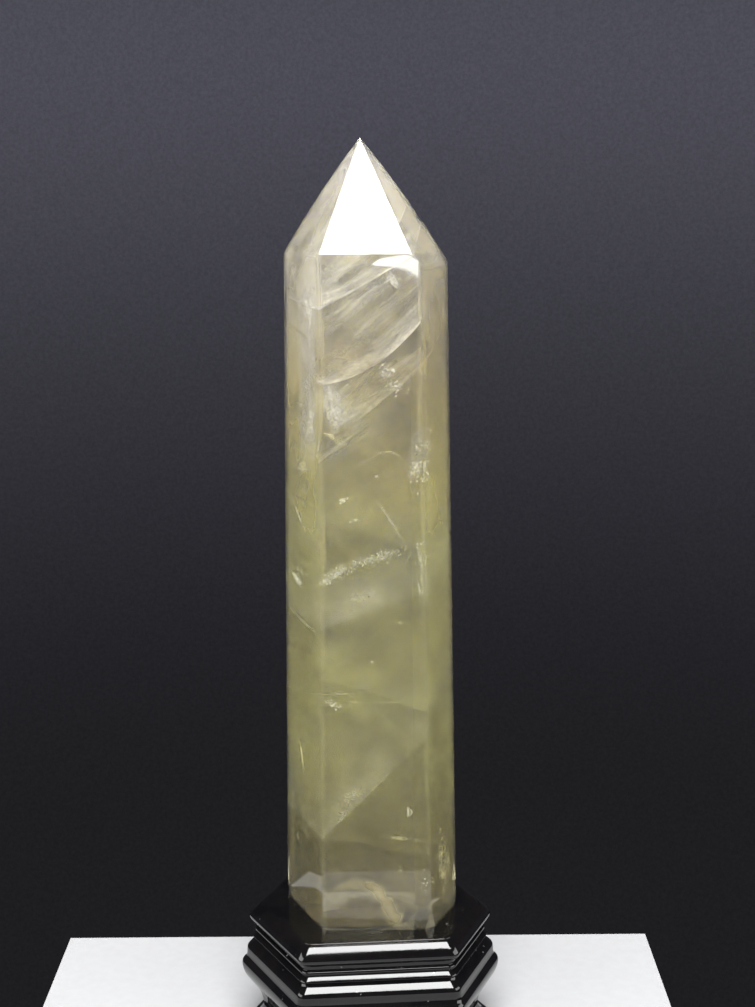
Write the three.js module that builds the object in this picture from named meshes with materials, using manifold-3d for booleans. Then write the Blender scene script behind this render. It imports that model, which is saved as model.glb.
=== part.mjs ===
// A polished citrine crystal point standing in a black-lacquered wooden stand.
// Millimetres, +Z up.  The widest face of the crystal looks along -Y, and the
// origin is at the centre of the stand's underside.
import * as THREE from 'three';
import { mergeVertices } from 'three/addons/utils/BufferGeometryUtils.js';
import Module from 'manifold-3d';

const manifoldLibrary = await Module();
manifoldLibrary.setup();

// ---- crystal: driving dimensions ----------------------------------------------------------
// Heights are measured from the crystal's own base.  Quartz keeps 120 degree corners, so a
// prism face is given by the way it looks and its distance from the long axis.
const CRYSTAL_LENGTH = 340;
const APEX_OFFSET = new THREE.Vector2(-1.7, 0.4);
// `dome` is how far hand polishing has left the middle of the pyramid face above it swollen.
const PRISM_FACES = [
  { azimuth: -90, atBase: 26.1, atShoulder: 22.6, shoulderHeight: 295.8, dome: 0 },
  { azimuth: -30, atBase: 36.1, atShoulder: 29.6, shoulderHeight: 291.8, dome: 0 },
  { azimuth: 30, atBase: 30.3, atShoulder: 27.4, shoulderHeight: 292.6, dome: 2 },
  { azimuth: 90, atBase: 26.3, atShoulder: 23.4, shoulderHeight: 294.6, dome: 0.6 },
  { azimuth: 150, atBase: 34.6, atShoulder: 30.2, shoulderHeight: 295.2, dome: 1.7 },
  { azimuth: 210, atBase: 31.4, atShoulder: 26.9, shoulderHeight: 295.6, dome: 0 },
];
const DOME_STEPS = 4;

// Where the foot was ground back and rounded when the base was finished.  A cut runs down
// from the farthest corner that it meets at `height`, and is `depth` deep at the base.
const GROUND_STEPS = 4;
const GROUND_FEET = [
  { azimuth: 207.2, height: 20, depth: 1.5 },
  { azimuth: -26.5, height: 17, depth: 1.4 },
  { azimuth: -60, height: 21, depth: 3.2 },
  { azimuth: -121, height: 12, depth: 1.4 },
  { azimuth: 33, height: 15, depth: 1.3 },
  { azimuth: 61, height: 19, depth: 2.4 },
  { azimuth: 118, height: 22, depth: 2.8 },
];

// Shallow shell-shaped chips on the edges: the edge runs between two neighbouring faces,
// and `along` is the chip's height above the base.
const CHIP_RADIUS = 3.2;
const CHIPS = [
  { azimuth: -2, along: 310, reach: 0.4 },
  { azimuth: 178, along: 9.4, reach: 0.35 },
  { azimuth: 188, along: 8, reach: 0.3 },
  { azimuth: 62, along: 300, reach: 0.35 },
];

// ---- stand: driving dimensions ------------------------------------------------------------
const STAND_HEIGHT = 62;
const STAND_TURN = 3.6;         // degrees, the stand stands slightly askew of the crystal
// The stand's plan before its margin is added, a hexagon cut to suit the crystal's.
const STAND_FACES = [
  { azimuth: -90, reach: 26.1 },
  { azimuth: -30, reach: 35.8 },
  { azimuth: 30, reach: 29.8 },
  { azimuth: 90, reach: 26.3 },
  { azimuth: 150, reach: 34.4 },
  { azimuth: 210, reach: 34.1 },
];
const CORNER_RADIUS = 4.6;
const CORNER_STEPS = 5;
const CURVE_STEPS = 5;
const SEAT_DEPTH = 6.8;
const GAP = 0.3;                // between two pieces that touch

// Each tier is given from the stand's top face down: the drop at which it ends.
const PLATE_BOTTOM = 7.9;
const NECK_BOTTOM = 16.6;
const BASE_BOTTOM = 50.5;

// ---- finishes -----------------------------------------------------------------------------
const citrine = () => new THREE.MeshStandardMaterial({
  color: 0xa39c6c, roughness: 0.06, metalness: 0, transparent: true, opacity: 0.75,
});
const lacquer = () => new THREE.MeshStandardMaterial({ color: 0x0c0b0c, roughness: 0.12, metalness: 0 });

// ---- convex solids from the planes of their faces -----------------------------------------
// A face is { normal, distance }: the solid lies where normal . point <= distance.

const radians = THREE.MathUtils.degToRad;

/** The way a vertical face looks. */
function outward(azimuth) {
  return new THREE.Vector3(Math.cos(radians(azimuth)), Math.sin(radians(azimuth)), 0);
}

/** The face through the horizontal line `reach` from the axis at `height` that also holds `point`. */
function facePlane(azimuth, reach, height, point) {
  const across = outward(azimuth);
  const lineDirection = new THREE.Vector3(-across.y, across.x, 0);
  const onLine = across.clone().multiplyScalar(reach).setZ(height);
  const normal = lineDirection.cross(point.clone().sub(onLine)).normalize();
  if (normal.dot(across) < 0) normal.negate();
  return { normal, distance: normal.dot(onLine) };
}

/** The point where three planes meet, or null where they don't. */
function meetingPoint(a, b, c) {
  const bc = b.normal.clone().cross(c.normal);
  const determinant = a.normal.dot(bc);
  if (Math.abs(determinant) < 1e-9) return null;
  return bc.multiplyScalar(a.distance)
    .add(c.normal.clone().cross(a.normal).multiplyScalar(b.distance))
    .add(a.normal.clone().cross(b.normal).multiplyScalar(c.distance))
    .divideScalar(determinant);
}

/** Every corner of the convex solid that the planes bound. */
function cornersOf(planes) {
  const tolerance = 1e-5;
  const corners = [];
  for (let i = 0; i < planes.length; i += 1) {
    for (let j = i + 1; j < planes.length; j += 1) {
      for (let k = j + 1; k < planes.length; k += 1) {
        const point = meetingPoint(planes[i], planes[j], planes[k]);
        const inside = point && planes.every((p) => p.normal.dot(point) < p.distance + tolerance);
        if (inside && !corners.some((c) => c.distanceTo(point) < tolerance * 10)) corners.push(point);
      }
    }
  }
  return corners;
}

/** A closed geometry with one flat polygon for each plane that touches the solid. */
function solidFromPlanes(planes) {
  const corners = cornersOf(planes);
  const triangles = [];
  for (const { normal, distance } of planes) {
    const onFace = corners
      .map((corner, index) => ({ corner, index }))
      .filter(({ corner }) => Math.abs(normal.dot(corner) - distance) < 1e-4);
    if (onFace.length < 3) continue;
    const middle = new THREE.Vector3();
    onFace.forEach(({ corner }) => middle.addScaledVector(corner, 1 / onFace.length));
    const sideways = onFace[0].corner.clone().sub(middle).normalize();
    const upwards = normal.clone().cross(sideways);
    const turnOf = ({ corner }) => {
      const from = corner.clone().sub(middle);
      return Math.atan2(from.dot(upwards), from.dot(sideways));
    };
    onFace.sort((a, b) => turnOf(a) - turnOf(b));
    for (let n = 1; n < onFace.length - 1; n += 1) {
      triangles.push(onFace[0].index, onFace[n].index, onFace[n + 1].index);
    }
  }
  const geometry = new THREE.BufferGeometry();
  geometry.setAttribute('position', new THREE.Float32BufferAttribute(corners.flatMap((c) => c.toArray()), 3));
  geometry.setIndex(triangles);
  return geometry;
}

// ---- solids for cutting -------------------------------------------------------------------

/** A three.js geometry as a manifold solid. */
function toSolid(geometry) {
  const bare = geometry.clone();
  bare.deleteAttribute('normal');
  bare.deleteAttribute('uv');
  const merged = mergeVertices(bare, 1e-4);
  return new manifoldLibrary.Manifold(new manifoldLibrary.Mesh({
    numProp: 3,
    vertProperties: new Float32Array(merged.attributes.position.array),
    triVerts: new Uint32Array(merged.index.array),
  }));
}

/** A manifold solid as a three.js geometry. */
function toGeometry(solid) {
  const mesh = solid.getMesh();
  const geometry = new THREE.BufferGeometry();
  geometry.setAttribute('position', new THREE.Float32BufferAttribute(mesh.vertProperties, 3));
  geometry.setIndex(new THREE.Uint32BufferAttribute(mesh.triVerts, 1));
  return geometry;
}

/** A mesh with flat faces, named as its piece is. */
function namedMesh(name, geometry, material) {
  const flat = geometry.toNonIndexed();
  flat.computeVertexNormals();
  const mesh = new THREE.Mesh(flat, material);
  mesh.name = name;
  return mesh;
}

// ---- crystal ------------------------------------------------------------------------------

const apex = new THREE.Vector3(APEX_OFFSET.x, APEX_OFFSET.y, CRYSTAL_LENGTH);

function prismPlanes() {
  return PRISM_FACES.map(({ azimuth, atBase, atShoulder, shoulderHeight }) => {
    const onBase = outward(azimuth).multiplyScalar(atBase);
    return facePlane(azimuth, atShoulder, shoulderHeight, onBase);
  });
}

/** The planes of one pyramid face: a single one where it is flat, a shallow fan where it is domed. */
function pyramidFacePlanes({ azimuth, atShoulder, shoulderHeight, dome }) {
  const steps = dome > 0 ? DOME_STEPS : 1;
  const shoulder = outward(azimuth).multiplyScalar(atShoulder).setZ(shoulderHeight);
  const top = outward(azimuth).multiplyScalar(apex.dot(outward(azimuth))).setZ(CRYSTAL_LENGTH);
  const rise = top.clone().sub(shoulder).normalize();
  const swelling = outward(azimuth).multiplyScalar(rise.z).setZ(-rise.dot(outward(azimuth)));
  const profile = [];
  for (let step = 0; step <= steps; step += 1) {
    const share = step / steps;
    const bulge = 4 * dome * share * (1 - share);
    profile.push(shoulder.clone().lerp(top, share).addScaledVector(swelling, bulge));
  }
  return profile.slice(1).map((upper, step) => {
    const lower = profile[step];
    return facePlane(azimuth, lower.dot(outward(azimuth)), lower.z, upper);
  });
}

/** How far the prism reaches in one direction at one height. */
function prismReach(azimuth, height) {
  const direction = outward(azimuth);
  const sides = prismPlanes();
  const level = { normal: new THREE.Vector3(0, 0, 1), distance: height };
  return Math.max(...sides
    .map((side, index) => meetingPoint(side, sides[(index + 1) % sides.length], level))
    .map((corner) => direction.dot(corner)));
}

/** A fan of planes that rounds the foot off in one direction, each leaning further than the last. */
function groundFootPlanes({ azimuth, height, depth }) {
  const reachAfter = (share) => (
    prismReach(azimuth, height * (1 - share)) - depth * share ** 2
  );
  const planes = [];
  for (let step = 1; step <= GROUND_STEPS; step += 1) {
    const upperShare = (step - 1) / GROUND_STEPS;
    const lowerShare = step / GROUND_STEPS;
    const lower = outward(azimuth).multiplyScalar(reachAfter(lowerShare)).setZ(height * (1 - lowerShare));
    planes.push(facePlane(azimuth, reachAfter(upperShare), height * (1 - upperShare), lower));
  }
  return planes;
}

/** A small ball whose surface dips just below an edge of the crystal. */
function chipCutter(crystalPlanes, { azimuth, along, reach }) {
  const direction = outward(azimuth);
  const level = new THREE.Vector3(APEX_OFFSET.x, APEX_OFFSET.y, along);
  const toSurface = Math.min(...crystalPlanes
    .filter(({ normal }) => normal.dot(direction) > 1e-6)
    .map(({ normal, distance }) => (distance - normal.dot(level)) / normal.dot(direction)));
  const ball = new THREE.IcosahedronGeometry(CHIP_RADIUS, 3);
  const centre = direction.multiplyScalar(toSurface + CHIP_RADIUS - reach).add(level);
  ball.translate(centre.x, centre.y, centre.z);
  return toSolid(ball);
}

function crystalPoint() {
  const base = { normal: new THREE.Vector3(0, 0, -1), distance: 0 };
  const planes = [
    base,
    ...prismPlanes(),
    ...PRISM_FACES.flatMap(pyramidFacePlanes),
    ...GROUND_FEET.flatMap(groundFootPlanes),
  ];
  let solid = toSolid(solidFromPlanes(planes));
  for (const chip of CHIPS) solid = solid.subtract(chipCutter(planes, chip));
  return namedMesh('crystal_point', toGeometry(solid), citrine());
}

// ---- stand --------------------------------------------------------------------------------

/** The point where two neighbouring upright faces meet, each moved outward by `margin`. */
function planCorner(face, next, margin) {
  return meetingPoint(
    { normal: outward(face.azimuth), distance: face.reach + margin },
    { normal: outward(next.azimuth), distance: next.reach + margin },
    { normal: new THREE.Vector3(0, 0, 1), distance: 0 },
  );
}

/** The stand's outline at one level: its plan grown by `margin`, with each corner rounded. */
function standOutline(margin) {
  return STAND_FACES.flatMap((face, index) => {
    const next = STAND_FACES[(index + 1) % STAND_FACES.length];
    const arcCentre = planCorner(face, next, margin - CORNER_RADIUS);
    const arc = [];
    for (let step = 0; step <= CORNER_STEPS; step += 1) {
      const azimuth = face.azimuth + (60 * step) / CORNER_STEPS;
      arc.push(outward(azimuth).multiplyScalar(CORNER_RADIUS).add(arcCentre));
    }
    return arc;
  });
}

/** A closed solid through the outlines that a profile of (margin, drop) points gives, top first. */
function mouldedTier(profile) {
  const rings = profile.getPoints(CURVE_STEPS)
    .map((point) => standOutline(point.x).map((p) => p.setZ(STAND_HEIGHT - point.y)));
  const ringSize = rings[0].length;
  const vertices = rings.flat().flatMap((p) => p.toArray());
  const triangles = [];
  for (let ring = 0; ring < rings.length - 1; ring += 1) {
    for (let n = 0; n < ringSize; n += 1) {
      const upper = ring * ringSize + n;
      const upperNext = ring * ringSize + ((n + 1) % ringSize);
      triangles.push(upper, upper + ringSize, upperNext);
      triangles.push(upperNext, upper + ringSize, upperNext + ringSize);
    }
  }
  const lowest = (rings.length - 1) * ringSize;
  for (let n = 1; n < ringSize - 1; n += 1) {
    triangles.push(0, n, n + 1);
    triangles.push(lowest, lowest + n + 1, lowest + n);
  }
  const geometry = new THREE.BufferGeometry();
  geometry.setAttribute('position', new THREE.Float32BufferAttribute(vertices, 3));
  geometry.setIndex(triangles);
  return geometry;
}

/** Flat top, a fine step, a sloping shoulder, a round edge and a smaller roundover beneath. */
function plateProfile() {
  const profile = new THREE.Path();
  profile.moveTo(8.5, 0);
  profile.quadraticCurveTo(9, 0, 9.1, 0.35);
  profile.lineTo(9.6, 0.4);
  profile.quadraticCurveTo(10.1, 0.45, 10.5, 0.75);
  profile.quadraticCurveTo(11.1, 1.2, 11.7, 1.75);
  profile.quadraticCurveTo(14.3, 4.15, 14.3, 5.4);
  profile.quadraticCurveTo(14.3, 7.2, 12.9, PLATE_BOTTOM);
  return profile;
}

/** A recessed flat, a small square fillet, a hollow and a sloping bead. */
function neckProfile() {
  const profile = new THREE.Path();
  profile.moveTo(11, PLATE_BOTTOM + GAP);
  profile.lineTo(11, 11.6);
  profile.quadraticCurveTo(12, 11.7, 12.1, 12.5);
  profile.lineTo(12.1, 13.1);
  profile.quadraticCurveTo(11.3, 13.3, 11.3, 14.1);
  profile.quadraticCurveTo(11.5, 14.25, 11.9, 14.6);
  profile.quadraticCurveTo(12.4, 15.04, 12.9, 15.55);
  profile.quadraticCurveTo(13.2, 15.85, 13.2, 16.1);
  profile.quadraticCurveTo(13.2, 16.5, 12.4, NECK_BOTTOM);
  return profile;
}

/** A sloping shoulder, an ovolo, the widest lip, and a deep cove below it. */
function baseProfile() {
  const profile = new THREE.Path();
  profile.moveTo(12, NECK_BOTTOM + GAP);
  profile.quadraticCurveTo(12.1, 18, 12.8, 18.6);
  profile.quadraticCurveTo(14.1, 19.7, 15, 20.6);
  profile.quadraticCurveTo(15.7, 21.3, 15.7, 24.2);
  profile.quadraticCurveTo(15.8, 26.4, 16.7, 27.2);
  profile.quadraticCurveTo(17.9, 28.2, 17.8, 30);
  profile.quadraticCurveTo(17.7, 32.8, 16.4, 35.6);
  profile.bezierCurveTo(14.3, 40.2, 9.9, 42.6, 9.8, BASE_BOTTOM);
  return profile;
}

/** A plain foot that flares from the cove to a rounded edge and a flat underside. */
function footProfile() {
  const profile = new THREE.Path();
  profile.moveTo(9.8, BASE_BOTTOM + GAP);
  profile.quadraticCurveTo(10, 55.4, 13.6, 56.2);
  profile.quadraticCurveTo(15.4, 56.8, 15.4, 58.8);
  profile.lineTo(15.4, 61);
  profile.quadraticCurveTo(15.3, 61.9, 14.4, STAND_HEIGHT);
  return profile;
}

/** The recess that the crystal stands in, cut to its outline with a small gap all round. */
function seatCutter() {
  const faces = PRISM_FACES.map(({ azimuth, atBase }) => ({ azimuth, reach: atBase }));
  const corners = faces.map((face, index) => planCorner(face, faces[(index + 1) % faces.length], GAP));
  const shape = new THREE.Shape(corners.map((corner) => new THREE.Vector2(corner.x, corner.y)));
  const clearOfTop = 2;
  const block = new THREE.ExtrudeGeometry(shape, { depth: SEAT_DEPTH + clearOfTop, bevelEnabled: false });
  block.translate(0, 0, STAND_HEIGHT - SEAT_DEPTH);
  return toSolid(block);
}

function topPlate() {
  const turned = mouldedTier(plateProfile()).rotateZ(radians(STAND_TURN));
  const seat = seatCutter();
  return namedMesh('stand_top_plate', toGeometry(toSolid(turned).subtract(seat)), lacquer());
}

function plainTier(name, profile) {
  const mesh = namedMesh(name, mouldedTier(profile), lacquer());
  mesh.rotation.z = radians(STAND_TURN);
  return mesh;
}

// ---- assembly -----------------------------------------------------------------------------

const crystal = crystalPoint();
crystal.position.z = STAND_HEIGHT - SEAT_DEPTH + GAP;

const assembly = new THREE.Group();
assembly.add(
  crystal,
  topPlate(),
  plainTier('stand_neck_tier', neckProfile()),
  plainTier('stand_base_tier', baseProfile()),
  plainTier('stand_foot', footProfile()),
);

// The stand's plan follows the crystal's uneven one, so the whole is slid until the centre
// of its plan is on the origin.
const extent = new THREE.Box3().setFromObject(assembly, true);
const planCentre = extent.getCenter(new THREE.Vector3());
assembly.position.set(-planCentre.x, -planCentre.y, 0);
assembly.updateMatrixWorld(true);

const citrinePointOnStand = new THREE.Group();
citrinePointOnStand.add(assembly);

export default citrinePointOnStand;
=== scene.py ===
"""The looks of a citrine crystal point on its black-lacquered stand.

Metres, +Z up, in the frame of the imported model.  Small sizes are written in
millimetres and multiplied by MM.
"""
import math
import random
from types import SimpleNamespace

import bmesh
import bpy
from mathutils import Matrix, Vector, noise


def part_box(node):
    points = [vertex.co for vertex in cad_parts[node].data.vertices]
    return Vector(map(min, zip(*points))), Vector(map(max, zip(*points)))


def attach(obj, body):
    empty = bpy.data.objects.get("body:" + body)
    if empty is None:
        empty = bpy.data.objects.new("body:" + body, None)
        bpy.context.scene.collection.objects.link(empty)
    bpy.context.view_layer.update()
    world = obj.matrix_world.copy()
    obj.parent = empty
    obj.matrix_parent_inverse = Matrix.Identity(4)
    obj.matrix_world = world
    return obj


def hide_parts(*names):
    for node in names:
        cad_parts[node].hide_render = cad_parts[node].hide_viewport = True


MM = 0.001

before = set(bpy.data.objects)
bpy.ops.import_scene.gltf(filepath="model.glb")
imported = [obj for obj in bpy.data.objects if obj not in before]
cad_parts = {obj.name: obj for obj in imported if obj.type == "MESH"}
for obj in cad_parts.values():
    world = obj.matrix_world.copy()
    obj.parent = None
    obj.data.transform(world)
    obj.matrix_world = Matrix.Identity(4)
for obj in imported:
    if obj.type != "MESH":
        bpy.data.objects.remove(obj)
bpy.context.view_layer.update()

CRYSTAL_LOW, CRYSTAL_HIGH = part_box("crystal_point")
CRYSTAL_BASE = CRYSTAL_LOW.z
CRYSTAL_LENGTH = CRYSTAL_HIGH.z - CRYSTAL_LOW.z


# ---- camera, floor, backdrop and lights ---------------------------------------------------

CAMERA_PLACE = Vector((4.857, -531.64, 377.5)) * MM
CAMERA_DOWN = 13.8                  # degrees below the horizon
CAMERA_ROLL = -0.43                 # degrees
CAMERA_LENS = 46.47                 # millimetres, for Blender's 36 mm sensor

SHEET_LEFT, SHEET_RIGHT = -155.5 * MM, 141.5 * MM
SHEET_FRONT, SHEET_BACK = -194 * MM, 68 * MM
SHEET_THICK = 0.3 * MM
SHEET_GAP = 0.02 * MM               # between the sheet and the stand's foot


def make_camera():
    data = bpy.data.cameras.new("camera")
    data.lens = CAMERA_LENS
    data.clip_start = 0.02
    data.clip_end = 20
    camera = bpy.data.objects.new("camera", data)
    tilt = Matrix.Rotation(math.radians(90 - CAMERA_DOWN), 4, "X")
    roll = Matrix.Rotation(math.radians(CAMERA_ROLL), 4, "Z")
    camera.matrix_world = Matrix.Translation(CAMERA_PLACE) @ tilt @ roll
    bpy.context.scene.collection.objects.link(camera)
    bpy.context.scene.camera = camera


def new_material(name):
    """An empty node material with its Principled shader, as (material, nodes, links, shader)."""
    material = bpy.data.materials.new(name)
    material.use_nodes = True
    nodes = material.node_tree.nodes
    return material, nodes, material.node_tree.links, nodes["Principled BSDF"]


def object_coordinates(nodes):
    return nodes.new("ShaderNodeTexCoord").outputs["Object"]


def noise_node(nodes, links, where, scale, detail=4.0, roughness=0.5, distortion=0.0):
    node = nodes.new("ShaderNodeTexNoise")
    node.inputs["Scale"].default_value = scale
    node.inputs["Detail"].default_value = detail
    node.inputs["Roughness"].default_value = roughness
    node.inputs["Distortion"].default_value = distortion
    links.new(where, node.inputs["Vector"])
    return node.outputs["Fac"]


def ramp_node(nodes, links, value, stops, interpolation="LINEAR"):
    """A colour ramp through (position, colour) stops; a colour is a grey or three numbers."""
    node = nodes.new("ShaderNodeValToRGB")
    ramp = node.color_ramp
    ramp.interpolation = interpolation
    while len(ramp.elements) < len(stops):
        ramp.elements.new(1.0)
    for element, (position, colour) in zip(ramp.elements, stops):
        rgb = colour if isinstance(colour, tuple) else (colour,) * 3
        element.position = position
        element.color = (*rgb, 1.0)
    links.new(value, node.inputs["Fac"])
    return node.outputs["Color"]


def math_node(nodes, links, operation, first, second=None, clamp=False):
    node = nodes.new("ShaderNodeMath")
    node.operation = operation
    node.use_clamp = clamp
    for socket, value in zip(node.inputs, (first, second)):
        if isinstance(value, (int, float)):
            socket.default_value = value
        elif value is not None:
            links.new(value, socket)
    return node.outputs["Value"]


def colour_math(nodes, links, operation, first, second):
    """The sum ("ADD") or the product ("MULTIPLY") of two colours."""
    node = nodes.new("ShaderNodeVectorMath")
    node.operation = operation
    links.new(first, node.inputs[0])
    links.new(second, node.inputs[1])
    return node.outputs["Vector"]


def bump_node(nodes, links, height, distance):
    """A bumped normal, `distance` millimetres deep."""
    bump = nodes.new("ShaderNodeBump")
    bump.inputs["Strength"].default_value = 1.0
    bump.inputs["Distance"].default_value = distance * MM
    links.new(height, bump.inputs["Height"])
    return bump.outputs["Normal"]


def make_world():
    """A dark cloth-grey room, a little lighter higher up."""
    world = bpy.data.worlds.new("studio")
    bpy.context.scene.world = world
    world.use_nodes = True
    nodes, links = world.node_tree.nodes, world.node_tree.links
    background = nodes["Background"]
    direction = nodes.new("ShaderNodeTexCoord").outputs["Generated"]
    split = nodes.new("ShaderNodeSeparateXYZ")
    links.new(direction, split.inputs["Vector"])
    rise = math_node(nodes, links, "MULTIPLY", split.outputs["Z"], 0.5)
    rise = math_node(nodes, links, "ADD", rise, 0.5)
    colour = ramp_node(nodes, links, rise, [
        (0.28, (0.0125, 0.0125, 0.0140)),
        (0.34, (0.0170, 0.0168, 0.0205)),
        (0.40, (0.0300, 0.0285, 0.0360)),
        (0.46, (0.0480, 0.0475, 0.0600)),
        (0.51, (0.0680, 0.0665, 0.0850)),
        (0.57, (0.0820, 0.0820, 0.1070)),
        (0.66, (0.0300, 0.0300, 0.0340)),
    ], "B_SPLINE")
    weave = noise_node(nodes, links, direction, 420, 3, 0.7)
    uneven = ramp_node(nodes, links, weave, [(0.3, 0.86), (0.7, 1.14)])
    links.new(colour_math(nodes, links, "MULTIPLY", colour, uneven), background.inputs["Color"])
    background.inputs["Strength"].default_value = 1.0


def make_floor():
    """A sheet of white card, just under the stand."""
    mesh = bpy.data.meshes.new("floor_sheet")
    work = bmesh.new()
    bmesh.ops.create_cube(work, size=1)
    work.to_mesh(mesh)
    work.free()
    floor = bpy.data.objects.new("floor_sheet", mesh)
    floor.scale = (SHEET_RIGHT - SHEET_LEFT, SHEET_BACK - SHEET_FRONT, SHEET_THICK)
    middle_x = (SHEET_LEFT + SHEET_RIGHT) / 2
    middle_y = (SHEET_FRONT + SHEET_BACK) / 2
    floor.location = (middle_x, middle_y, -SHEET_THICK / 2 - SHEET_GAP)
    material, nodes, links, shader = new_material("white_card")
    grain = noise_node(nodes, links, object_coordinates(nodes), 60, 6)
    white = ramp_node(nodes, links, grain, [
        (0.3, (0.322, 0.323, 0.328)),
        (0.7, (0.336, 0.338, 0.344)),
    ])
    links.new(white, shader.inputs["Base Color"])
    shader.inputs["Roughness"].default_value = 0.9
    shader.inputs["Specular IOR Level"].default_value = 0.2
    mesh.materials.append(material)
    bpy.context.scene.collection.objects.link(floor)


LIGHT_TARGET = Vector((0, 0, 370)) * MM


def towards(azimuth, elevation):
    """The direction at an azimuth in degrees from -Y, and at an elevation above the level."""
    turn, lift = math.radians(azimuth), math.radians(elevation)
    return Vector((math.sin(turn) * math.cos(lift), -math.cos(turn) * math.cos(lift), math.sin(lift)))


def make_light(name, azimuth, elevation, distance, width, height, radiance):
    """A soft panel seen from the target at that azimuth and elevation, facing it."""
    data = bpy.data.lights.new(name, "AREA")
    data.shape = "RECTANGLE"
    data.size = width
    data.size_y = height
    data.energy = radiance * math.pi * width * height
    light = bpy.data.objects.new(name, data)
    away = towards(azimuth, elevation)
    light.location = LIGHT_TARGET + away * distance
    light.rotation_mode = "QUATERNION"
    light.rotation_quaternion = away.to_track_quat("Z", "Y")
    light.visible_camera = False
    bpy.context.scene.collection.objects.link(light)
    return light


def make_lights():
    """A softbox and a strip that the polish mirrors, and wide dim panels that light the inside.

    Each has its azimuth, elevation, distance, width, height and radiance, in that order.
    """
    for light in (
        make_light("softbox", 3, 56.6, 0.8, 0.56, 0.41, 22),
        make_light("strip", 3, 78, 0.76, 0.56, 0.04, 20),
    ):
        light.visible_transmission = False
    make_light("fill_left", -66, 12, 1.5, 1.3, 1.2, 5.0)
    make_light("fill_right", 66, 12, 1.5, 1.3, 1.2, 4.5)
    for light in (
        make_light("fill_front", 0, 12, 1.6, 1.6, 1.0, 4.8),
        make_light("fill_top", 0, 58, 1.6, 1.6, 1.2, 5.0),
        make_light("fill_back", 180, 25, 1.6, 2.0, 1.2, 1.8),
    ):
        light.visible_glossy = False


# ---- crystal ------------------------------------------------------------------------------

# Colours up the crystal's height, as shares of its length: smoky olive at the foot, then
# yellow-olive, then a paler beige in the upper third.  The clear crystal carries a light
# tint and the haze sealed in it a deeper one, so that white veils in it still look white.
CITRINE_TINTS = (
    (0.00, (0.77, 0.73, 0.58)),
    (0.10, (0.70, 0.68, 0.52)),
    (0.22, (0.82, 0.80, 0.59)),
    (0.50, (0.88, 0.87, 0.69)),
    (0.62, (0.90, 0.87, 0.71)),
    (0.74, (0.92, 0.88, 0.77)),
    (0.95, (0.95, 0.93, 0.89)),
)
HAZE_TINTS = (
    (0.00, (0.68, 0.62, 0.43)),
    (0.10, (0.50, 0.46, 0.24)),
    (0.22, (0.72, 0.70, 0.34)),
    (0.50, (0.79, 0.77, 0.42)),
    (0.62, (0.77, 0.72, 0.36)),
    (0.74, (0.83, 0.76, 0.50)),
    (0.95, (0.93, 0.90, 0.86)),
)


def height_tint(nodes, links, where, tints):
    """A colour by height up the crystal, with its zones made uneven by noise."""
    split = nodes.new("ShaderNodeSeparateXYZ")
    links.new(where, split.inputs["Vector"])
    above_base = math_node(nodes, links, "SUBTRACT", split.outputs["Z"], CRYSTAL_BASE)
    share = math_node(nodes, links, "DIVIDE", above_base, CRYSTAL_LENGTH)
    wander = math_node(nodes, links, "SUBTRACT", noise_node(nodes, links, where, 14, 3), 0.5)
    uneven = math_node(nodes, links, "ADD", share, math_node(nodes, links, "MULTIPLY", wander, 0.12))
    return ramp_node(nodes, links, uneven, tints)


WELD = 0.002 * MM
FLAT = math.radians(0.2)            # faces that meet more flatly than this are one face


def clean_copy(node):
    """A bmesh of a CAD node with its flat faces whole again."""
    work = bmesh.new()
    work.from_mesh(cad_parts[node].data)
    bmesh.ops.remove_doubles(work, verts=work.verts, dist=WELD)
    bmesh.ops.dissolve_limit(work, angle_limit=FLAT, verts=work.verts, edges=work.edges)
    return work


def crystal_material():
    material, nodes, links, shader = new_material("citrine")
    where = object_coordinates(nodes)
    colour = height_tint(nodes, links, where, CITRINE_TINTS)
    links.new(colour, shader.inputs["Base Color"])
    shader.inputs["Transmission Weight"].default_value = 0.95
    shader.inputs["IOR"].default_value = 1.544
    shader.inputs["Roughness"].default_value = 0.02
    shader.inputs["Subsurface Weight"].default_value = 1.0
    shader.inputs["Subsurface Radius"].default_value = (1.0, 0.95, 0.6)
    shader.inputs["Subsurface Scale"].default_value = 25 * MM
    unevenness = noise_node(nodes, links, where, 24, 1, 0.4)
    links.new(bump_node(nodes, links, unevenness, 0.13), shader.inputs["Normal"])
    absorption = nodes.new("ShaderNodeVolumeAbsorption")
    absorption.inputs["Color"].default_value = (0.955, 0.95, 0.85, 1.0)
    absorption.inputs["Density"].default_value = 18
    links.new(absorption.outputs["Volume"], nodes["Material Output"].inputs["Volume"])
    return material


BEVEL = 0.3 * MM
BEVELLED_LENGTH = 3 * MM            # only edges longer and sharper than this are bevelled
BEVELLED_ANGLE = math.radians(12)


def make_crystal():
    """The CAD crystal with its sharp edges eased by a polisher's fine bevel."""
    work = clean_copy("crystal_point")
    sharp = [
        edge for edge in work.edges
        if len(edge.link_faces) == 2
        and edge.calc_length() > BEVELLED_LENGTH
        and edge.calc_face_angle() > BEVELLED_ANGLE
    ]
    bmesh.ops.bevel(work, geom=sharp, offset=BEVEL, segments=2, profile=0.5, affect="EDGES",
                    clamp_overlap=True)
    bmesh.ops.triangulate(work, faces=work.faces)
    mesh = bpy.data.meshes.new("crystal")
    work.to_mesh(mesh)
    work.free()
    crystal = bpy.data.objects.new("crystal", mesh)
    bpy.context.scene.collection.objects.link(crystal)
    mesh.materials.append(crystal_material())
    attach(crystal, "root")
    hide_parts("crystal_point")


# ---- stand --------------------------------------------------------------------------------

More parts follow.
